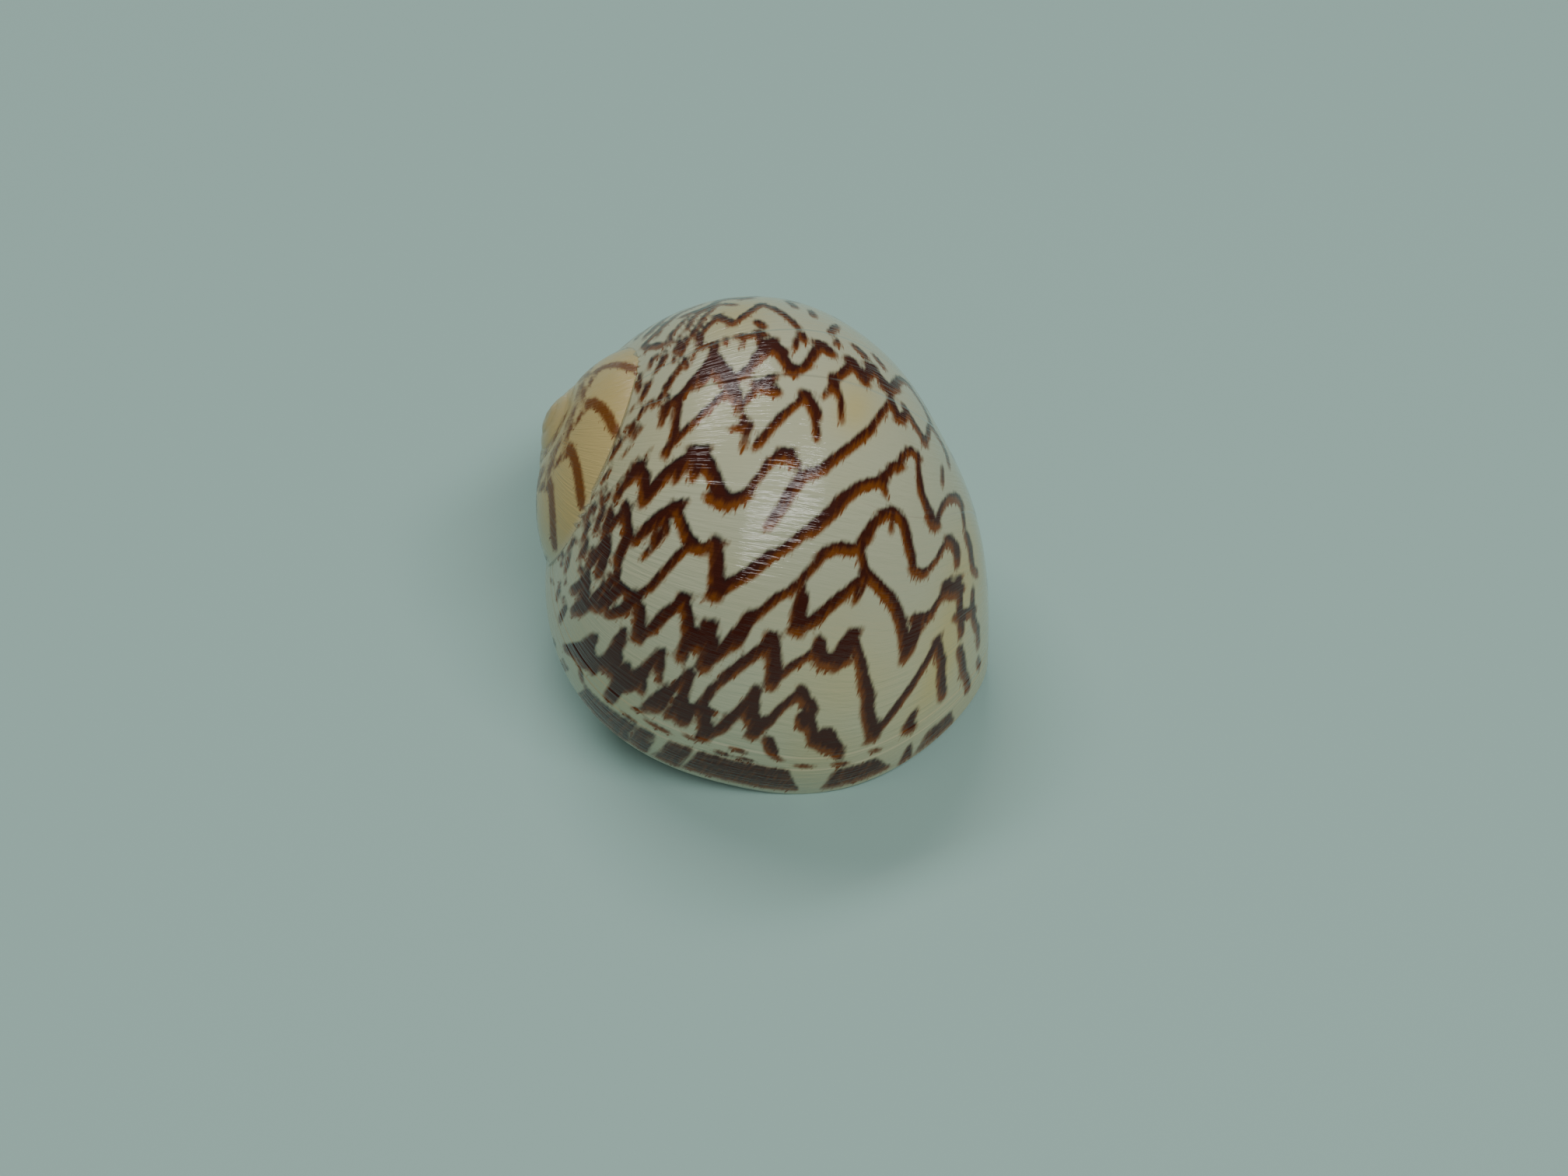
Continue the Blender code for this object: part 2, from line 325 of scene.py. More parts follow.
early_angles = np.arange(EARLY_AROUND) * 360.0 / EARLY_AROUND - 180.0
for last in STRETCH_ENDS:
    first = max(last - STRETCH, FIRST_AGE)
    stretch = []
    for age in ages_between(first, last + STRETCH_OVERLAP, EARLY_ROWS_PER_TURN):
        radius, depth = outline(age, early_angles, inset=stretch_inset(age, first, last))
        stretch.append(place_on_coil(radius, depth, age))
        remember(stretch[-1], np.full(EARLY_AROUND, age), early_angles, 0.0)
    boolean(shell, tube("stretch", np.array(stretch)), "UNION")
part_turn = np.arange(CORE_AROUND) / CORE_AROUND
pillar = []
for depth, radius in CORE:
    pillar.append(place_on_coil(np.full(CORE_AROUND, radius), np.full(CORE_AROUND, depth), part_turn))
boolean(shell, tube("core", np.array(pillar)), "UNION")
shell.data.name = "shell_grown"


def nearest_of(points, piece):
    """For each point of a piece's mesh, which of these points is nearest to it."""
    finder = kdtree.KDTree(len(points))
    for index, point in enumerate(points):
        finder.insert(point, index)
    finder.balance()
    return np.array([finder.find(vertex.co)[1] for vertex in piece.data.vertices])


# Where each point is on the shell: its age, its angle, whether it is inside the mouth, and its growth line.
found = nearest_of(at_rest(np.vstack(known_points)), shell)
ages = np.concatenate(known_ages)[found]
degrees = np.concatenate(known_angles)[found]
inside = np.concatenate(known_inside)[found]
growth = ages - station_spline(LIP_LEAN, degrees)


# The zigzags. Brown pigment that the growing edge laid down, so each line runs from the suture to the base
# across the growth lines. Those on the back are placed as read from the photograph, on a sheet where growth
# runs across and the angle runs down; those round the far side are grown by seeded chance.
SHEET_PER_TURN = 7000.0
SHEET_PER_DEGREE = 9.0
SHEET_TOP = -110.0
NEAR_LIP_STARTS = -0.23
MIDDLE_STARTS = -0.44
HAIRLINE = 0.08
MM_PER_WIDTH = 0.022
END_POINT = 0.55
FRINGE = 0.34

# Each line: its width, then the places along it.
NEAR_LIP_LINES = (
    (8, "1230,620 1140,628 1040,652 965,666"),
    (9, "965,666 1050,678 1130,694 1200,690"),
    (11, "1120,640 1210,640"),
    (7, "1175,676 1220,680"),
    (12, "1125,690 1132,730 1120,762"),
    (8, "1060,742 1110,738"),
    (12, "1170,722 1212,724"),
    (11, "1120,760 1200,785 1265,805 1200,835 1120,845"),
    (9, "1120,845 1040,860 960,872 1030,888"),
    (12, "1030,888 1095,905 1105,925 1170,945 1100,965"),
    (9, "1100,965 1010,985 940,1010"),
    (11, "920,1030 945,1045 980,1085 1060,1110"),
    (11, "1060,1110 1120,1145 1175,1170"),
    (16, "1150,1200 1190,1215 1220,1250"),
    (7, "1120,1210 1180,1245 1260,1285"),
    (13, "1060,1085 1070,1090"),
    (8, "700,1005 720,1000 800,945 850,925 885,905"),
    (13, "885,905 830,890 750,860 710,838"),
    (11, "710,838 800,800 900,765"),
    (7, "900,765 1000,745 1080,742"),
    (12, "690,1010 735,1030 750,1060 730,1090"),
    (11, "730,1090 650,1105 625,1120"),
    (14, "680,1125 745,1110 755,1070"),
    (9, "625,1120 680,1155 760,1205 850,1245"),
    (11, "850,1245 930,1285 1020,1310 1110,1345 1205,1378"),
    (10, "1205,1378 1130,1400 1050,1420 980,1440"),
    (9, "980,1440 900,1462 830,1480 780,1490"),
    (8, "780,1490 850,1515 950,1545 1040,1560 1130,1580 1200,1595"),
    (10, "760,470 850,490 885,500 820,520 720,532 630,555"),
    (9, "630,555 700,590 780,612 880,622"),
    (13, "760,612 800,640 725,652"),
    (13, "725,652 800,680 880,690"),
    (11, "880,690 800,715 700,730"),
    (12, "740,738 640,740"),
    (8, "700,730 600,762 520,795 480,825"),
    (7, "480,825 420,850 370,868 300,893"),
    (10, "300,893 268,930 262,985"),
    (7, "262,985 210,1035 130,1050 80,1085 55,1125"),
    (6, "240,1020 300,1050 350,1085"),
    (10, "350,1085 390,1150 440,1215 490,1255"),
    (9, "490,1255 560,1295 640,1330 700,1350"),
    (13, "650,1370 740,1370"),
    (5, "740,1390 640,1390 570,1360"),
    (8, "570,1360 590,1415 530,1450 465,1475"),
    (9, "465,1475 500,1512 480,1530"),
    (7, "480,1530 560,1550 680,1572 820,1600"),
    (8, "55,1125 90,1180 150,1210 240,1255"),
    (6, "240,1255 315,1285 345,1340 300,1385"),
    (6, "300,1385 230,1420 205,1442"),
    (9, "205,1442 240,1475 290,1500 340,1508"),
    (8, "220,1560 290,1585 380,1600"),
    (6, "380,1600 440,1612 490,1640"),
    (5, "430,850 520,872"),
    (12, "520,878 590,888 625,905 590,945"),
    (11, "590,945 520,980 460,1015"),
    (9, "460,1015 400,1050 370,1075"),
    (5, "390,1085 460,1075"),
    (12, "200,430 240,410 330,385"),
    (8, "330,385 420,372"),
    (8, "200,430 280,465 340,495"),
    (5, "260,415 330,432 400,425 480,412"),
    (4, "300,405 390,412"),
    (9, "340,495 375,530 345,570"),
    (7, "375,505 430,492 520,478 620,465 720,440"),
    (11, "350,570 430,595 500,608 550,625"),
    (12, "550,625 500,650 430,690 370,715"),
    (9, "370,715 300,765 240,795 170,835"),
    (8, "170,835 100,868 50,890 10,935"),
    (8, "275,303 370,290 470,280"),
    (10, "275,303 350,325 430,345 560,350"),
    (6, "560,350 640,368"),
    (12, "560,305 640,315 700,320"),
    (10, "530,295 620,288 720,285"),
    (9, "830,300 900,296 990,290"),
    (10, "850,310 950,325 1090,325"),
    (9, "1050,338 950,345 850,352 740,362"),
    (11, "740,392 830,382 900,372"),
    (10, "720,434 800,434 870,412"),
    (9, "690,370 720,440 760,470"),
    (10, "1100,408 1200,402 1300,388 1400,376"),
    (10, "1190,428 1270,440 1330,425"),
    (9, "925,572 1000,562 1080,558"),
    (9, "935,575 985,588"),
    (4, "985,590 1050,606"),
    (7, "925,465 975,470"),
    (12, "975,468 1090,470 1190,466"),
    (10, "1080,490 1180,497"),
    (13, "1110,520 1180,522 1270,530 1335,532"),
    (11, "1060,560 1150,556 1210,546"),
    (7, "1100,570 1155,582"),
    (13, "1170,412 1270,412 1330,400"),
    (8, "1200,452 1280,456"),
    (11, "1215,1015 1260,1040"),
    (9, "1205,1498 1260,1498 1290,1510"),
    (7, "950,1615 1040,1640 1150,1662"),
    (6, "1150,1662 1240,1690 1330,1710 1385,1722"),
    (6, "620,1630 720,1640 830,1665"),
    (6, "830,1665 930,1700 1050,1722"),
    (5, "1220,1745 1300,1765"),
    (12, "490,1480 525,1510 535,1540"),
    (10, "700,1570 720,1600 740,1640"),
    (5, "600,1365 630,1398"),
    (5, "400,200 480,198"),
    (5, "530,217 640,225"),
    (5, "640,240 760,248"),
    (5, "770,200 870,204"),
    (5, "910,222 1000,232"),
    (5, "1180,250 1260,262"),
    (6, "1190,300 1320,310"),
    (4, "60,196 120,192"),
    (4, "230,234 300,222"),
    (5, "350,238 500,246"),
    (6, "330,262 420,268"),
    (4, "1325,655 1330,700"),
    (4, "1300,920 1306,945"),
    (4, "1298,1065 1310,1085"),
    (3, "1305,765 1308,780"),
    (3, "1345,880 1350,900"),
    (4, "1345,1180 1348,1205"),
    (3, "1280,1275 1300,1295"),
    (4, "1350,1305 1360,1325"),
    (3, "1325,1410 1335,1420"),
    (3, "1375,595 1378,610"),
    (4, "1290,605 1280,615"),
    (3, "1355,960 1358,990"),
    (3, "100,1125 130,1132"),
    (5, "1400,440 1430,450"),
)
# Each bar: its left, right, top and bottom, and how far its left end and its right end slant.
LIP_BARS = (
    (1455, 1600, 475, 622, 40, 20),
    (1405, 1585, 634, 690, 0, 14),
    (1395, 1575, 730, 800, 10, 10),
    (1392, 1558, 820, 1150, 0, 75),
    (1415, 1560, 1312, 1440, 0, 60),
    (1460, 1590, 1532, 1548, 0, 20),
    (1455, 1585, 1585, 1670, 0, 24),
    (1530, 1680, 388, 414, 0, 0),
    (1590, 1680, 344, 350, 0, 0),
)
MIDDLE_LINES = (
    (7, "1680,260 1600,265 1540,270"),
    (12, "1540,275 1470,285 1500,305"),
    (11, "1500,305 1570,325 1640,335"),
    (12, "1640,345 1560,355 1480,372 1430,395"),
    (15, "1430,395 1380,430 1440,465"),
    (11, "1440,465 1500,495 1560,520 1610,545"),
    (9, "1410,430 1480,440"),
    (8, "1430,405 1500,400"),
    (12, "1600,520 1610,550 1590,580"),
    (6, "1590,585 1510,605 1450,620 1395,640"),
    (10, "1395,640 1370,665 1395,690"),
    (9, "1680,690 1610,705 1540,715"),
    (10, "1540,715 1460,740 1425,785"),
    (9, "1425,785 1350,830 1270,885 1180,940"),
    (6, "1180,940 1100,972 1010,1012 945,1040"),
    (8, "945,1040 1010,1065 1030,1090"),
    (10, "1030,1090 1010,1110"),
    (7, "950,1125 1010,1170 1060,1215 1100,1245"),
    (6, "1100,1245 1060,1270 980,1290 945,1315"),
    (6, "945,1315 880,1308 810,1280 750,1240 690,1185"),
    (6, "960,1320 1000,1370 1060,1412 1120,1436 1185,1440"),
    (10, "1680,830 1600,872 1530,900 1460,945"),
    (10, "1460,945 1430,985 1405,1030"),
    (7, "1405,1030 1360,1055 1310,1080 1300,1110"),
    (6, "1300,1110 1240,1120 1195,1160 1210,1205"),
    (5, "1210,1205 1290,1215 1330,1225"),
    (7, "1330,1225 1390,1240 1450,1275 1500,1305"),
    (10, "1500,1305 1550,1330 1565,1350"),
    (7, "1565,1350 1500,1372 1450,1400 1425,1440"),
    (9, "1425,1440 1430,1490 1465,1518"),
    (5, "1465,1518 1530,1530 1600,1540"),
    (5, "1380,1035 1440,1062"),
    (6, "1680,1012 1600,1040 1540,1080"),
    (8, "1540,1080 1525,1125 1560,1175"),
    (7, "1560,1175 1610,1210 1680,1235"),
    (10, "940,335 860,355 790,375"),
    (7, "790,375 700,388 640,394"),
    (12, "880,380 800,395 870,420"),
    (8, "700,395 780,415 860,435"),
    (11, "860,435 925,450 920,480"),
    (9, "920,480 850,510 780,530"),
    (15, "780,530 720,550 760,575"),
    (9, "760,575 840,600 915,630"),
    (8, "915,630 890,665 820,688"),
    (9, "820,688 760,705 720,725"),
    (13, "720,728 745,745"),
    (9, "915,792 860,822 800,850"),
    (13, "800,850 840,870 860,885"),
    (8, "860,885 890,905 830,920"),
    (12, "830,925 780,945 820,985"),
    (12, "820,985 865,1020 840,1060"),
    (9, "840,1060 770,1090 710,1125 680,1180"),
    (6, "510,348 430,348 340,375 265,405"),
    (8, "275,402 330,415"),
    (6, "330,415 430,442 400,465"),
    (8, "400,465 330,500 255,540"),
    (6, "255,545 320,575 400,598"),
    (5, "400,598 480,620 560,642"),
    (5, "520,302 430,308 320,340"),
    (5, "300,345 180,365 60,410"),
    (5, "230,315 120,330 0,370"),
    (4, "60,430 150,460"),
    (9, "970,322 1020,300 1060,300"),
    (5, "1060,295 1130,298"),
    (6, "980,328 1110,335 1220,345 1360,347"),
    (7, "1330,345 1230,372 1150,400"),
    (7, "1150,400 1070,430 1000,455"),
    (12, "985,462 1050,480"),
    (12, "975,560 1000,545 1030,575"),
    (6, "1030,530 1120,502"),
    (6, "1190,520 1240,530 1240,510"),
    (4, "1230,540 1330,540"),
    (8, "1320,582 1250,600 1180,625"),
    (7, "1180,625 1110,660 1065,685"),
    (10, "1065,685 1110,710 1150,725"),
    (5, "1150,725 1210,735 1265,746"),
    (9, "950,772 985,778"),
    (4, "985,785 1060,808 1155,820"),
    (4, "985,765 1045,748"),
    (6, "578,355 582,385"),
    (7, "592,465 608,490"),
    (3, "610,475 680,472"),
    (6, "595,520 615,530"),
    (3, "615,520 680,520"),
    (7, "495,520 530,528"),
    (7, "640,655 675,660"),
    (4, "680,638 745,632"),
    (4, "590,422 605,424"),
    (5, "655,790 670,790"),
    (9, "655,885 680,905"),
    (6, "650,985 690,1010"),
    (6, "655,312 710,298"),
    (6, "730,220 830,212"),
    (8, "170,215 240,232"),
    (6, "490,250 570,238"),
    (4, "400,212 460,210"),
    (6, "390,292 460,285"),
    (6, "780,288 850,280"),
    (5, "850,280 955,262"),
    (4, "1090,212 1160,210"),
    (4, "1150,228 1210,230"),
    (5, "1270,190 1380,182"),
    (4, "1530,195 1600,190"),
    (4, "960,228 1030,222"),
    (5, "1250,1375 1320,1375"),
    (6, "340,722 400,720"),
    (7, "480,805 560,775"),
    (5, "20,190 90,195"),
    (4, "180,265 300,262"),
    (4, "540,182 700,190"),
    (5, "80,300 170,275"),
    (6, "200,655 290,660"),
)
SIGHT_TURNS = (-0.44, -0.386, -0.37, -0.30, -0.24, -0.20, -0.10, 0.0)
SIGHT_ANGLES = (-57.0, 0.0, 20.0, 54.0, 73.0, 80.0, 91.0, 101.0)
SPIRE_CHEVRONS = (-1.025, -1.117, -1.207, -1.313, -1.423)
SPIRE_SPACING = 0.103
SPIRE_PLAIN_BEFORE = -2.3
LEAST_APART = 0.017
BAR_TRIM_ACROSS = 8
BAR_TRIM_DOWN = 7
BAR_ROW_HEIGHT = 8
BAR_ROW_HALF = 0.15
FAR_CORNERS = 23
FAR_FIRST_ANGLE = -86.0
FAR_CORNER_EVERY = 9.0
FAR_CORNER_SPREAD = 3.0
FAR_CORNER_DRIFT = 1.2
FAR_CORNER_KEEPS = 0.8
FAR_LAST_ANGLE = 112.0
FAR_FIRST_LINE = -0.02
FAR_LINES_EVERY = 0.034
FAR_STEPS = (0.002, 0.013)
FAR_STEP_KEEPS = 0.75
FAR_STEP_GAINS = 0.0045
FAR_PLACE_SPREAD = 0.002
FAR_APART = (1.0, 1.6)
FAR_HALVES = (0.22, 0.30)
FAR_HALF_VARIES = (0.8, 1.2)
FAR_GAPS = 0.06
WAVE_TURNS = 0.018
WAVE_DEGREES = 18.0
WAVE_MOVES = 200.0
OUT_OF_SIGHT_BEFORE = -0.43
FLECKS = 280
FLECK_TURNS = (-0.98, -0.03)
FLECK_TOP = -95.0
FLECK_BOTTOM = -72.0
FLECK_BOTTOM_NEAR_LIP = -77.0
FLECK_NEAR_LIP = -0.3
FLECK_LENGTHS = (0.003, 0.009)
FLECK_HALVES = (0.07, 0.12)
FLECK_SLANT = 100.0
SPIRE_ARMS = (
    (0.26, -98.5, 0.24), (0.13, -96.5, 0.30), (0.06, -92.5, 0.40), (0.0, -86.5, 0.50),
    (0.020, -79.0, 0.50), (0.044, -72.0, 0.50), (0.066, -66.0, 0.50), (0.085, -58.0, 0.50),
)
FAR_FROM_LINES = 3.0
SEARCH_TURNS = 0.05
SEARCH_DEGREES = 30.0
SEED = 7


def on_sheet(x, y, starts):
    """A place on the sheet as turns and degrees."""
    return starts + x / SHEET_PER_TURN, SHEET_TOP + y / SHEET_PER_DEGREE


def drawn(lines, starts):
    """Pieces of line as rows: two ends in turns and degrees, and half the width in mm."""
    rows = []
    for width, places in lines:
        spots = [tuple(float(number) for number in place.split(",")) for place in places.split()]
        spots = [on_sheet(x, y, starts) for x, y in spots]
        for one, two in zip(spots, spots[1:]):
            rows.append((*one, *two, HAIRLINE + width * MM_PER_WIDTH))
    return rows


def lip_bars():
    """The broad bars behind the lip, each one filled by rows laid side by side."""
    rows = []
    for left, rightmost, top, bottom, slant_left, slant_right in LIP_BARS:
        left, rightmost = left + BAR_TRIM_ACROSS, rightmost - BAR_TRIM_ACROSS
        top, bottom = top + BAR_TRIM_DOWN, bottom - BAR_TRIM_DOWN
        height = bottom - top
        for step in np.linspace(0.0, 1.0, max(2, int(height / BAR_ROW_HEIGHT))):
            one = on_sheet(left - slant_left * step, top + step * height, NEAR_LIP_STARTS)
            two = on_sheet(rightmost, top + step * (height + slant_right), NEAR_LIP_STARTS)
            rows.append((*one, *two, BAR_ROW_HALF))
    return rows


def seen_down_to(turns):
    """The angle where the back rolls out of sight, from the lip back to where the suture does."""
    return np.interp(turns, SIGHT_TURNS, SIGHT_ANGLES)


def grown_lines(chance):
    """Zigzags for the side that cannot be seen, each of them much like the one grown before it."""
    rows = []
    numbers = np.arange(FAR_CORNERS)
    resting_angles = FAR_FIRST_ANGLE + FAR_CORNER_EVERY * numbers
    resting_angles = resting_angles + chance.uniform(-FAR_CORNER_SPREAD, FAR_CORNER_SPREAD, FAR_CORNERS)
    corners = resting_angles
    outwards = np.where(numbers % 2 == 0, 1.0, -1.0)
    steps = outwards * chance.uniform(*FAR_STEPS, FAR_CORNERS)
    newer = np.zeros(FAR_CORNERS)
    for start in np.arange(FAR_FIRST_LINE, -1.0, -FAR_LINES_EVERY):
        before = corners
        corners = resting_angles + FAR_CORNER_KEEPS * (corners - resting_angles)
        corners = corners + chance.normal(0.0, FAR_CORNER_DRIFT, FAR_CORNERS)
        steps = FAR_STEP_KEEPS * steps + outwards * chance.uniform(0.0, FAR_STEP_GAINS, FAR_CORNERS)
        slope = WAVE_TURNS * np.sin((corners + WAVE_MOVES * start) / WAVE_DEGREES)
        places = start + steps + slope + chance.normal(0.0, FAR_PLACE_SPREAD, FAR_CORNERS)
        apart = LEAST_APART * chance.uniform(*FAR_APART, FAR_CORNERS)
        places = np.minimum(places, np.interp(corners, before, newer) - apart)
        newer = places
        halves = chance.uniform(*FAR_HALVES) * chance.uniform(*FAR_HALF_VARIES, FAR_CORNERS)
        for one, two in zip(range(FAR_CORNERS), range(1, FAR_CORNERS)):
            hidden = places[one] < OUT_OF_SIGHT_BEFORE or corners[one] > seen_down_to(places[one])
            if hidden and corners[one] < FAR_LAST_ANGLE and chance.random() > FAR_GAPS:
                rows.append((places[one], corners[one], places[two], corners[two], halves[one]))
    return rows


def flecks(chance):
    """Short dashes in the band below the suture."""
    rows = []
    for _ in range(FLECKS):
        place = chance.uniform(*FLECK_TURNS)
        bottom = FLECK_BOTTOM_NEAR_LIP if place > FLECK_NEAR_LIP else FLECK_BOTTOM
        angle = chance.uniform(FLECK_TOP, bottom)
        length = chance.uniform(*FLECK_LENGTHS)
        ends = (place, angle, place + length, angle - FLECK_SLANT * length)
        rows.append((*ends, chance.uniform(*FLECK_HALVES)))
    return rows


def spire_lines():
    """Chevrons with their points towards the older side, on the whorls of the spire."""
    rows = []
    starts = list(SPIRE_CHEVRONS)
    while starts[-1] > SPIRE_PLAIN_BEFORE:
        starts.append(starts[-1] - SPIRE_SPACING)
    for start in starts:
        size = float(size_at(start, OUTLINE_GROWTH, OUTLINE_SLOWING))
        for one, two in zip(SPIRE_ARMS, SPIRE_ARMS[1:]):
            rows.append((start + one[0], one[1], start + two[0], two[1], one[2] * size))
    return rows


def distance_to(rows, turns, angle, mm_per_turn, mm_per_degree):
    """How far each point is outside the nearest line, in mm; below zero inside it."""
    nearest = np.full(turns.shape, FAR_FROM_LINES)
    for one_turn, one_angle, two_turn, two_angle, half in rows:
        low = min(one_turn, two_turn) - SEARCH_TURNS
        high = max(one_turn, two_turn) + SEARCH_TURNS
        beside = np.abs(angle - 0.5 * (one_angle + two_angle)) < SEARCH_DEGREES
        near = np.flatnonzero((turns > low) & (turns < high) & beside)
        if len(near) == 0:
            continue
        along = (two_turn - one_turn) * mm_per_turn[near]
        down = (two_angle - one_angle) * mm_per_degree[near]
        x = (turns[near] - one_turn) * mm_per_turn[near]
        y = (angle[near] - one_angle) * mm_per_degree[near]
        length = np.hypot(along, down) + 1e-6
        aside = (x * down - y * along) / length
        run_on = (x * along + y * down) / length
        past = np.maximum(np.maximum(-run_on, run_on - length), 0.0)
        distance = np.hypot(aside, END_POINT * past) - half
        nearest[near] = np.minimum(nearest[near], distance)
    return nearest


def keep(piece, name, values):
    """Stores one number for each point of the piece's mesh."""
    layer = piece.data.attributes.new(name, "FLOAT", "POINT")
    layer.data.foreach_set("value", np.asarray(values, np.float32))


chance = np.random.default_rng(SEED)
lines = drawn(NEAR_LIP_LINES, NEAR_LIP_STARTS) + drawn(MIDDLE_LINES, MIDDLE_STARTS) + lip_bars()
lines = lines + grown_lines(chance) + flecks(chance) + spire_lines()
radius_here, _ = outline(ages, degrees)
mm_per_turn = 2.0 * math.pi * radius_here
reach_here = station_spline(OUTLINE_AT_LIP, degrees) * size_at(ages, OUTLINE_GROWTH, OUTLINE_SLOWING)
mm_per_degree = reach_here * math.pi / 180.0

# The inner lip is glazed over in white, and the lines thin out towards the navel.
GLAZED_FROM_LIP = (0.925, 0.96)
GLAZED_FROM_ANGLE = (-64.0, -54.0)
OUTER_SIDE_FROM = 178.0
GLAZE_HIDES = 0.9
GLAZE_WHITENS = 0.85
THIN_TOWARDS_NAVEL = (84.0, 122.0)
THINNED_BY = 0.55
NAVEL_FROM = (118.0, 150.0)
NAVEL_WHITENS = 0.6
MOUTH_FROM = (0.05, 0.2)
SPIRE_FROM = (0.98, 1.10)
not_outer = degrees < OUTER_SIDE_FROM
glazed = smooth_step(*GLAZED_FROM_LIP, -ages) * smooth_step(*GLAZED_FROM_ANGLE, degrees) * not_outer
thinned = GLAZE_HIDES * glazed + THINNED_BY * smooth_step(*THIN_TOWARDS_NAVEL, degrees)
navel = smooth_step(*NAVEL_FROM, degrees) * not_outer
whitened = np.maximum(GLAZE_WHITENS * glazed, NAVEL_WHITENS * navel)
keep(shell, "growth", growth)
keep(shell, "angle", degrees)
# The distance is kept where each point is, and a little to its younger and its older side.
for name, shift in (("line_distance", 0.0), ("line_younger", FRINGE), ("line_older", -0.5 * FRINGE)):
    distance = distance_to(lines, growth + shift / mm_per_turn, degrees, mm_per_turn, mm_per_degree)
    keep(shell, name, distance + thinned)
keep(shell, "mouth", np.maximum(smooth_step(*MOUTH_FROM, inside), whitened))
keep(shell, "spire", smooth_step(*SPIRE_FROM, -growth))

# Patches of the ground are creamier: low on the whorl near the lip, and across the middle of the back.
# Each patch: its middle in turns and degrees, then half its size in both.
CREAM_PATCHES = (
    (-0.165, 64.0, 0.05, 14.0),
    (-0.285, -14.0, 0.02, 9.0),
    (-0.10, 62.0, 0.04, 8.0),
    (-0.40, -60.0, 0.05, 12.0),
)
CREAM_MOST = 0.7
cream_here = np.zeros(len(growth))
for middle_turn, middle_angle, half_turn, half_angle in CREAM_PATCHES:
    turns_off = (growth - middle_turn) / half_turn
    degrees_off = (degrees - middle_angle) / half_angle
    cream_here += np.exp(-(turns_off**2) - degrees_off**2)
keep(shell, "cream", CREAM_MOST * np.clip(cream_here, 0.0, 1.0))


# Shell porcelain: calcium carbonate in crossed plates under a thin clear glaze, laid by the animal. White to
# cream, cooler where thick, with pigment sunk in it: it looks like glazed ceramic with fine growth ridges.
GROUND = "B6B799"
GROUND_CREAM = "BFB178"
SPIRE_TAN = "BCA870"
LINE_BROWN = "3E1203"
LINE_BLACK = "1A1012"
LINE_AMBER = "763E08"
SPIRE_BROWN = "70400C"
MOUTH_WHITE = "C9C6B4"
TURN_MM = 90.0
DEGREE_MM = 0.19
TOOTH_LENGTH_MM = 1.2
TOOTH_MM = 0.28
TOOTH_RAGS = 0.22
TOOTH_CUTS = -1.2
TOOTH_REACHES = 0.86
TOOTH_FADES = 0.5
LINE_EDGE = (0.25, 0.01)
AMBER_EDGE = (0.06, 0.42)
BLACK_EDGE = (-0.14, 0.16)
SHOULDER = (-10.0, -55.0)
BLACK_BELOW_SHOULDER = 0.3
CLOUDS_PER_METRE = 110.0
CLOUD_EDGE = (0.45, 0.75)
CLOUD_MOST = 0.45
RIDGE_MM = 0.3
RIDGE_WANDERS = 0.05
RIDGE_HEIGHT = 0.00006
GROWTH_RESTS = (-0.356, -0.306, -0.222, -0.046, -0.033)
REST_HALF = 0.0012
REST_STEP = 1.4
SHELL_SHARP = 35.0


def colour(code):
    """A hex sRGB colour as linear numbers."""
    parts = [int(code[i:i + 2], 16) / 255.0 for i in (0, 2, 4)]
    return tuple(p / 12.92 if p <= 0.04045 else ((p + 0.055) / 1.055) ** 2.4 for p in parts) + (1.0,)


def new_material(name):
    """A material with no nodes in it yet."""
    material = bpy.data.materials.new(name)
    material.use_nodes = True
    material.node_tree.nodes.clear()
    return material


def add(material, kind, inputs, **properties):
    """Adds one node, sets its properties, and gives each input a value or the output that feeds it."""
    node = material.node_tree.nodes.new(kind)
    for name, value in properties.items():
        setattr(node, name, value)
    for name, value in inputs.items():
        if isinstance(value, bpy.types.NodeSocket):
            material.node_tree.links.new(value, node.inputs[name])
        else:
            node.inputs[name].default_value = value
    return node.outputs


def dress(piece, material, sharp):
    """Gives a piece its material, and shades it smooth but for edges sharper than this, in degrees."""
    piece.data.materials.clear()
    piece.data.materials.append(material)
    bpy.ops.object.select_all(action="DESELECT")
    piece.select_set(True)
    bpy.context.view_layer.objects.active = piece
    bpy.ops.object.shade_smooth_by_angle(angle=math.radians(sharp))


porcelain = new_material("glazed shell porcelain")
grown = add(porcelain, "ShaderNodeAttribute", {}, attribute_name="growth")["Fac"]
turned = add(porcelain, "ShaderNodeAttribute", {}, attribute_name="angle")["Fac"]
to_line = add(porcelain, "ShaderNodeAttribute", {}, attribute_name="line_distance")["Fac"]
to_younger = add(porcelain, "ShaderNodeAttribute", {}, attribute_name="line_younger")["Fac"]
to_older = add(porcelain, "ShaderNodeAttribute", {}, attribute_name="line_older")["Fac"]
on_spire = add(porcelain, "ShaderNodeAttribute", {}, attribute_name="spire")["Fac"]
creamy = add(porcelain, "ShaderNodeAttribute", {}, attribute_name="cream")["Fac"]
in_mouth = add(porcelain, "ShaderNodeAttribute", {}, attribute_name="mouth")["Fac"]
place = add(porcelain, "ShaderNodeTexCoord", {})["Object"]

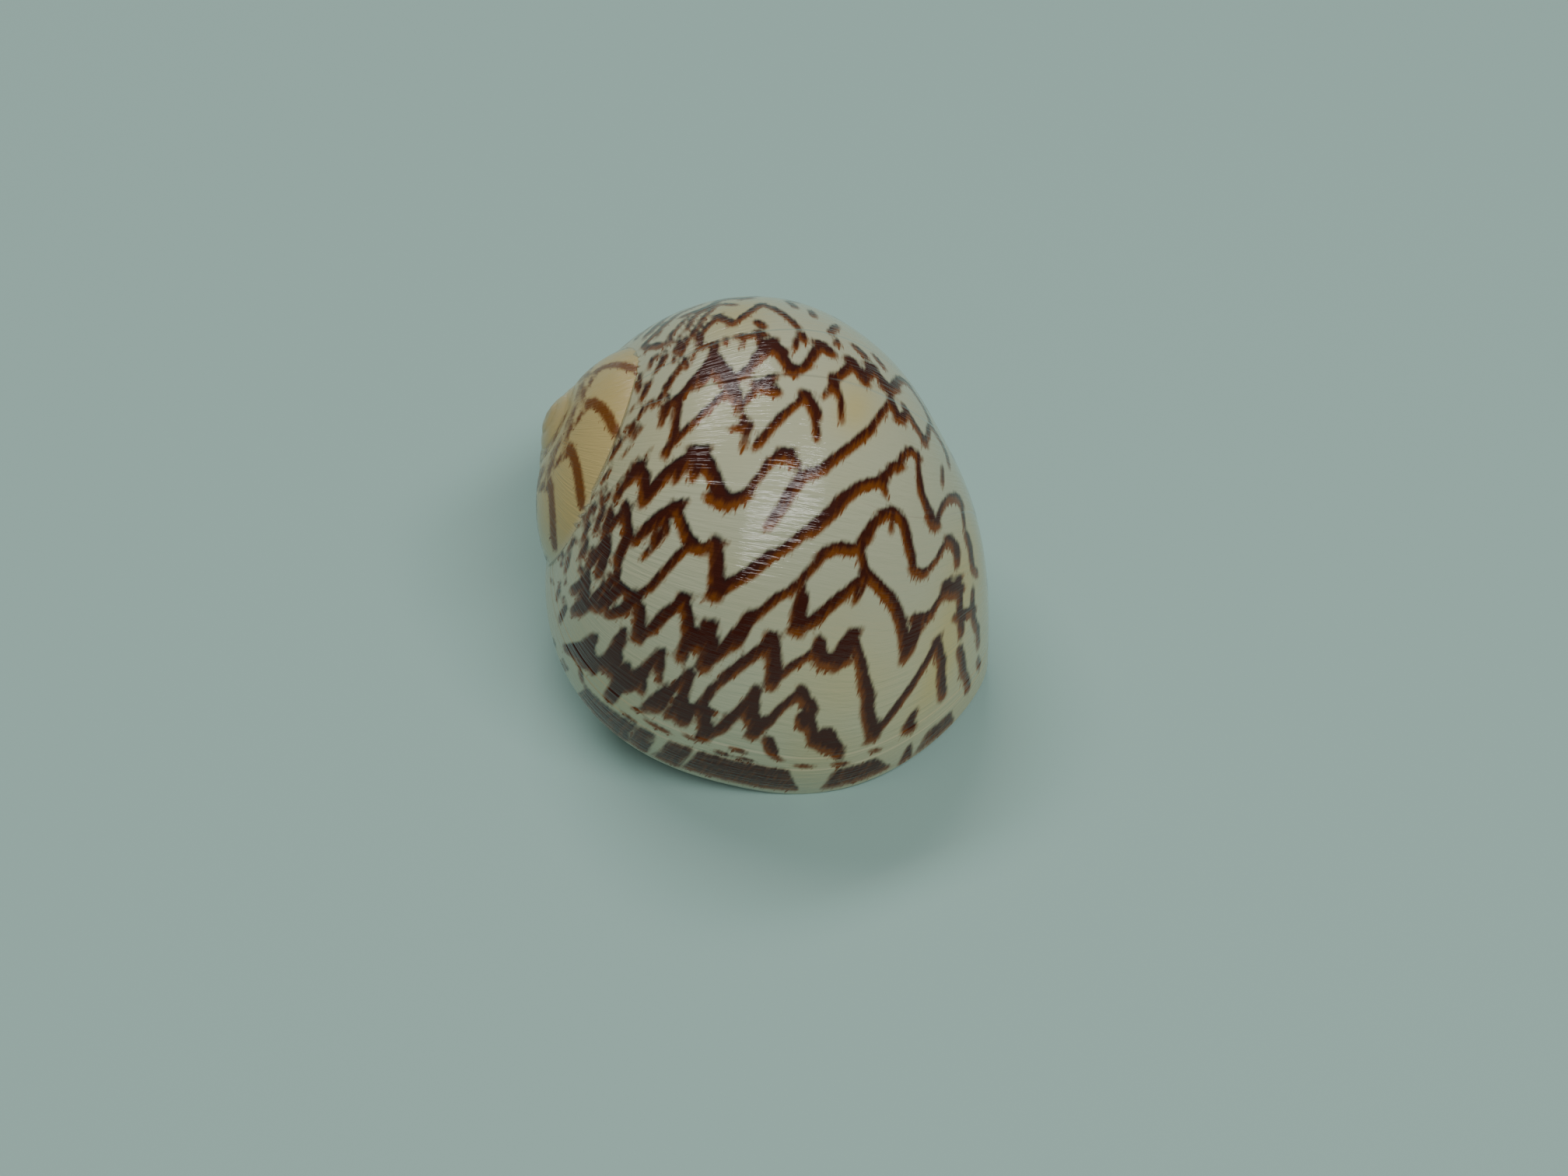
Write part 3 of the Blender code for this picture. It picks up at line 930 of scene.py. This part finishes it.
# The younger edge of a line is feathered by teeth about 0.28 mm apart that run along the growth.
along = add(porcelain, "ShaderNodeMath", {0: grown, 1: TURN_MM / TOOTH_LENGTH_MM}, operation="MULTIPLY")[0]
across = add(porcelain, "ShaderNodeMath", {0: turned, 1: DEGREE_MM / TOOTH_MM}, operation="MULTIPLY")[0]
sheet = add(porcelain, "ShaderNodeCombineXYZ", {0: along, 1: across})[0]
teeth = add(porcelain, "ShaderNodeTexNoise", {
    "Vector": sheet, "Scale": 1.0, "Detail": 2.0, "Roughness": 0.5})["Fac"]
ragged = add(porcelain, "ShaderNodeMath", {
    0: teeth, 1: TOOTH_RAGS, 2: to_line}, operation="MULTIPLY_ADD")[0]
feather = add(porcelain, "ShaderNodeMath", {
    0: teeth, 1: TOOTH_CUTS, 2: to_older}, operation="MULTIPLY_ADD")[0]
feather = add(porcelain, "ShaderNodeMath", {0: feather, 1: TOOTH_REACHES}, operation="ADD")[0]
edge = add(porcelain, "ShaderNodeMath", {0: ragged, 1: feather}, operation="MINIMUM")[0]
line = add(porcelain, "ShaderNodeMapRange", {
    0: edge, 1: LINE_EDGE[0], 2: LINE_EDGE[1]}, interpolation_type="SMOOTHSTEP")[0]

# Each line is chestnut, amber where it is youngest and thinnest, and bluish black on its older side at
# the shoulder.
fading = add(porcelain, "ShaderNodeMath", {
    0: teeth, 1: TOOTH_FADES, 2: to_younger}, operation="MULTIPLY_ADD")[0]
amber = add(porcelain, "ShaderNodeMapRange", {
    0: fading, 1: AMBER_EDGE[0], 2: AMBER_EDGE[1]}, interpolation_type="SMOOTHSTEP")[0]
starting = add(porcelain, "ShaderNodeMapRange", {
    0: to_older, 1: BLACK_EDGE[0], 2: BLACK_EDGE[1]}, interpolation_type="SMOOTHSTEP")[0]
shoulder = add(porcelain, "ShaderNodeMapRange", {
    0: turned, 1: SHOULDER[0], 2: SHOULDER[1], 3: BLACK_BELOW_SHOULDER, 4: 1.0},
    interpolation_type="SMOOTHSTEP")[0]
black = add(porcelain, "ShaderNodeMath", {0: starting, 1: shoulder}, operation="MULTIPLY")[0]
brown = add(porcelain, "ShaderNodeMix", {
    0: black, 6: colour(LINE_BROWN), 7: colour(LINE_BLACK)}, data_type="RGBA")[2]
brown = add(porcelain, "ShaderNodeMix", {0: amber, 6: brown, 7: colour(LINE_AMBER)}, data_type="RGBA")[2]
brown = add(porcelain, "ShaderNodeMix", {
    0: on_spire, 6: brown, 7: colour(SPIRE_BROWN)}, data_type="RGBA")[2]

# The ground is clouded with cream, about 9 mm from cloud to cloud, and it is tan on the spire.
cloud = add(porcelain, "ShaderNodeTexNoise", {
    "Vector": place, "Scale": CLOUDS_PER_METRE, "Detail": 2.0})["Fac"]
cloud = add(porcelain, "ShaderNodeMapRange", {
    0: cloud, 1: CLOUD_EDGE[0], 2: CLOUD_EDGE[1], 4: CLOUD_MOST}, interpolation_type="SMOOTHSTEP")[0]
cream = add(porcelain, "ShaderNodeMath", {0: cloud, 1: creamy}, operation="ADD")[0]
ground = add(porcelain, "ShaderNodeMix", {
    0: cream, 6: colour(GROUND), 7: colour(GROUND_CREAM)}, data_type="RGBA")[2]
ground = add(porcelain, "ShaderNodeMix", {
    0: on_spire, 6: ground, 7: colour(SPIRE_TAN)}, data_type="RGBA")[2]
outside = add(porcelain, "ShaderNodeMix", {0: line, 6: ground, 7: brown}, data_type="RGBA")[2]
shell_colour = add(porcelain, "ShaderNodeMix", {
    0: in_mouth, 6: outside, 7: colour(MOUTH_WHITE)}, data_type="RGBA")[2]

# Growth ridges run along the lip, drawn about 0.3 mm apart, twice as coarse as real ones, so that they show
# in the glints. Where growth rested there is a small step.
along = add(porcelain, "ShaderNodeMath", {0: grown, 1: TURN_MM / RIDGE_MM}, operation="MULTIPLY")[0]
across = add(porcelain, "ShaderNodeMath", {0: turned, 1: RIDGE_WANDERS}, operation="MULTIPLY")[0]
ridge_sheet = add(porcelain, "ShaderNodeCombineXYZ", {0: along, 1: across})[0]
relief = add(porcelain, "ShaderNodeTexNoise", {
    "Vector": ridge_sheet, "Scale": 1.0, "Detail": 3.0, "Roughness": 0.6})["Fac"]
for rest in GROWTH_RESTS:
    step = add(porcelain, "ShaderNodeMapRange", {
        0: grown, 1: rest - REST_HALF, 2: rest + REST_HALF, 4: REST_STEP},
        interpolation_type="SMOOTHSTEP")[0]
    relief = add(porcelain, "ShaderNodeMath", {0: relief, 1: step}, operation="ADD")[0]
bump = add(porcelain, "ShaderNodeBump", {"Height": relief, "Strength": 1.0, "Distance": RIDGE_HEIGHT})[0]
glaze = add(porcelain, "ShaderNodeBsdfPrincipled", {
    "Base Color": shell_colour, "Normal": bump, "Roughness": 0.45, "IOR": 1.5, "Specular IOR Level": 0.06,
    "Coat Weight": 1.0, "Coat Roughness": 0.02, "Coat IOR": 1.42, "Coat Normal": bump})[0]
add(porcelain, "ShaderNodeOutputMaterial", {"Surface": glaze})

dress(shell, porcelain, SHELL_SHARP)
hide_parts("shell")
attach(shell, "root")


# The lid. A limy plate that the animal carries on its foot and pulls in behind it, so it just fits the mouth,
# a little behind the lip, bulging outwards, with two grooves along its outer edge.
LID_RECESS = 0.022
LID_THICKNESS = 0.9
LID_GAP = 0.33
LID_CORNER_GAP = 0.9
LID_CORNER_ANGLE = 112.0
LID_CORNER_WIDTH = 18.0
LID_BULGE = 0.5
LID_CENTRE = (9.2, 16.0, -0.02)
LID_RINGS = 30
LID_SHARP = 40.0
GROOVES = (0.80, 0.88)
GROOVE_DEPTH = 0.16
GROOVE_WIDTH = 0.02
GROOVE_ANGLE = 10.0
CLEARED_AGES = (-1.75, -0.8)
CLEARED_STRETCH = (-2.0, -0.5)

front_age = lean - LID_RECESS
lid_gap = LID_GAP + LID_CORNER_GAP * np.exp(-(((angles - LID_CORNER_ANGLE) / LID_CORNER_WIDTH) ** 2))
radius, depth = hollow_outline(-LID_RECESS, front_age, angles, lid_gap)
front = place_on_coil(radius, depth, front_age)
thickness = LID_THICKNESS / (2.0 * math.pi * radius)
back_age = front_age - thickness
back = place_on_coil(*hollow_outline(-LID_RECESS - thickness, back_age, angles, lid_gap), back_age)
outward = np.linalg.svd(front - front.mean(axis=0))[2][2]
outward = -outward if outward[1] > 0.0 else outward
centre = np.array(place_on_coil(*LID_CENTRE))
centre = centre + outward * ((front.mean(axis=0) - centre) @ outward)
outer_side = np.clip(np.cos(np.radians(angles - GROOVE_ANGLE)), 0.0, 1.0)
lid_rings = []
for face, low in ((back, -LID_THICKNESS), (front, 0.0)):
    middle = centre + outward * low
    height = (face - middle) @ outward
    flat = face - middle - height[:, None] * outward
    rows = []
    for ring in range(LID_RINGS, 0, -1):
        share = ring / LID_RINGS
        rise = height * share**2 + LID_BULGE * (1.0 - share**2)
        if low == 0.0:
            for groove in GROOVES:
                sunk = math.exp(-(((share - groove) / GROOVE_WIDTH) ** 2))
                rise = rise - GROOVE_DEPTH * outer_side * sunk
        rows.append(middle + flat * share + rise[:, None] * outward)
    lid_rings.extend(rows[::-1] if low < 0.0 else rows)
tip = centre + outward * LID_BULGE
lid = tube("operculum_limy", np.array(lid_rings), tip - outward * LID_THICKNESS, tip)
clearance = []
for age in ages_between(*CLEARED_AGES, EARLY_ROWS_PER_TURN):
    inset = stretch_inset(age, *CLEARED_STRETCH) - LID_GAP
    clearance.append(place_on_coil(*outline(age, early_angles, inset=inset), age))
boolean(lid, tube("clearance", np.array(clearance)), "DIFFERENCE")
front_points = at_rest(np.array(lid_rings[LID_RINGS:]).reshape(-1, 3))
keep(lid, "edge", (LID_RINGS - nearest_of(front_points, lid) // AROUND) / LID_RINGS)

# Lime, laid by the foot in layers round a middle: olive and cream, smooth but duller to the eye than the
# shell, with faint growth curves and patches about 4 mm apart. The olive is partly the lid's own tint and
# partly painted shade, the dimness of a lid that sits in shadow under the shell's mouth.
LID_OLIVE_AND_SHADE = "6F6A45"
LID_CREAM = "B9AE86"
CURVES_ACROSS = 26.0
CURVES_SHOW = 0.6
BORDER = (0.7, 1.0)
BORDER_PALER = 0.25
PATCHES_PER_METRE = 260.0
PALE_EDGE = (0.35, 0.75)
GRAINS_PER_METRE = 2200.0
GRAIN_HEIGHT = 0.00005
lime = new_material("limy lid olive with painted shade")
lid_place = add(lime, "ShaderNodeTexCoord", {})["Object"]
edge = add(lime, "ShaderNodeAttribute", {}, attribute_name="edge")["Fac"]
spread = add(lime, "ShaderNodeMath", {0: edge, 1: CURVES_ACROSS}, operation="MULTIPLY")[0]
spread = add(lime, "ShaderNodeCombineXYZ", {0: spread})[0]
curves = add(lime, "ShaderNodeTexNoise", {"Vector": spread, "Scale": 1.0, "Detail": 2.0})["Fac"]
patches = add(lime, "ShaderNodeTexNoise", {
    "Vector": lid_place, "Scale": PATCHES_PER_METRE, "Detail": 3.0})["Fac"]
patches = add(lime, "ShaderNodeMix", {0: CURVES_SHOW, 2: patches, 3: curves})[0]
border = add(lime, "ShaderNodeMapRange", {
    0: edge, 1: BORDER[0], 2: BORDER[1], 4: BORDER_PALER}, interpolation_type="SMOOTHSTEP")[0]
patches = add(lime, "ShaderNodeMath", {0: patches, 1: border}, operation="ADD")[0]
pale = add(lime, "ShaderNodeMapRange", {
    0: patches, 1: PALE_EDGE[0], 2: PALE_EDGE[1]}, interpolation_type="SMOOTHSTEP")[0]
# The olive that the patches mix with is partly the lid's own tint and partly painted shade.
lid_colour = add(lime, "ShaderNodeMix", {
    0: pale, 6: colour(LID_OLIVE_AND_SHADE), 7: colour(LID_CREAM)}, data_type="RGBA")[2]
fine = add(lime, "ShaderNodeTexNoise", {
    "Vector": lid_place, "Scale": GRAINS_PER_METRE, "Detail": 2.0})["Fac"]
lid_bump = add(lime, "ShaderNodeBump", {"Height": fine, "Strength": 0.2, "Distance": GRAIN_HEIGHT})[0]
lid_shader = add(lime, "ShaderNodeBsdfPrincipled", {
    "Base Color": lid_colour, "Normal": lid_bump, "Roughness": 0.38, "IOR": 1.52})[0]
add(lime, "ShaderNodeOutputMaterial", {"Surface": lid_shader})

dress(lid, lime, LID_SHARP)
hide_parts("operculum")
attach(lid, "root")


# The table and the light. The table is one plain sheet of pale card, matt, so that to the eye it has no
# gloss and holds only a soft shadow. Two long windows high up, in front and at the back, and a dim room light
# it; places and sizes are in metres, and the light's strength in watts.
FLOOR_COLOUR = "9DBDB4"
FLOOR_SIZE = 3.0
FLOOR_ROUGHNESS = 0.8
ROOM_COLOUR = (0.80, 0.90, 0.88, 1.0)
ROOM_STRENGTH = 0.145
WINDOW_AWAY = 0.6
FRONT_WINDOW = ((0.30, -0.46, 0.84), 0.52, 0.12, 2.2)
BACK_WINDOW = ((-0.22, 0.50, 0.84), 0.42, 0.09, 1.5)

bpy.ops.object.select_all(action="DESELECT")
bpy.ops.mesh.primitive_plane_add(size=FLOOR_SIZE, location=(0.0, 0.0, 0.0))
floor = bpy.context.object
floor.name = "table"
card = bpy.data.materials.new("matt pale card")
card.use_nodes = True
card_inputs = card.node_tree.nodes["Principled BSDF"].inputs
card_inputs["Base Color"].default_value = colour(FLOOR_COLOUR)
card_inputs["Roughness"].default_value = FLOOR_ROUGHNESS
floor.data.materials.append(card)

world = bpy.data.worlds.new("room")
bpy.context.scene.world = world
world.use_nodes = True
room_inputs = world.node_tree.nodes["Background"].inputs
room_inputs["Color"].default_value = ROOM_COLOUR
room_inputs["Strength"].default_value = ROOM_STRENGTH


def window(name, towards, wide, high, watts):
    """A window of light facing the shell from a direction, its long side level; in metres and watts."""
    data = bpy.data.lights.new(name, "AREA")
    data.shape = "RECTANGLE"
    data.size = wide
    data.size_y = high
    data.energy = watts
    light = bpy.data.objects.new(name, data)
    direction = Vector(towards).normalized()
    level = Vector((0.0, 0.0, 1.0)).cross(direction).normalized()
    stand(light, level, direction.cross(level), direction, direction * WINDOW_AWAY)
    bpy.context.scene.collection.objects.link(light)


window("front_window", *FRONT_WINDOW)
window("back_window", *BACK_WINDOW)
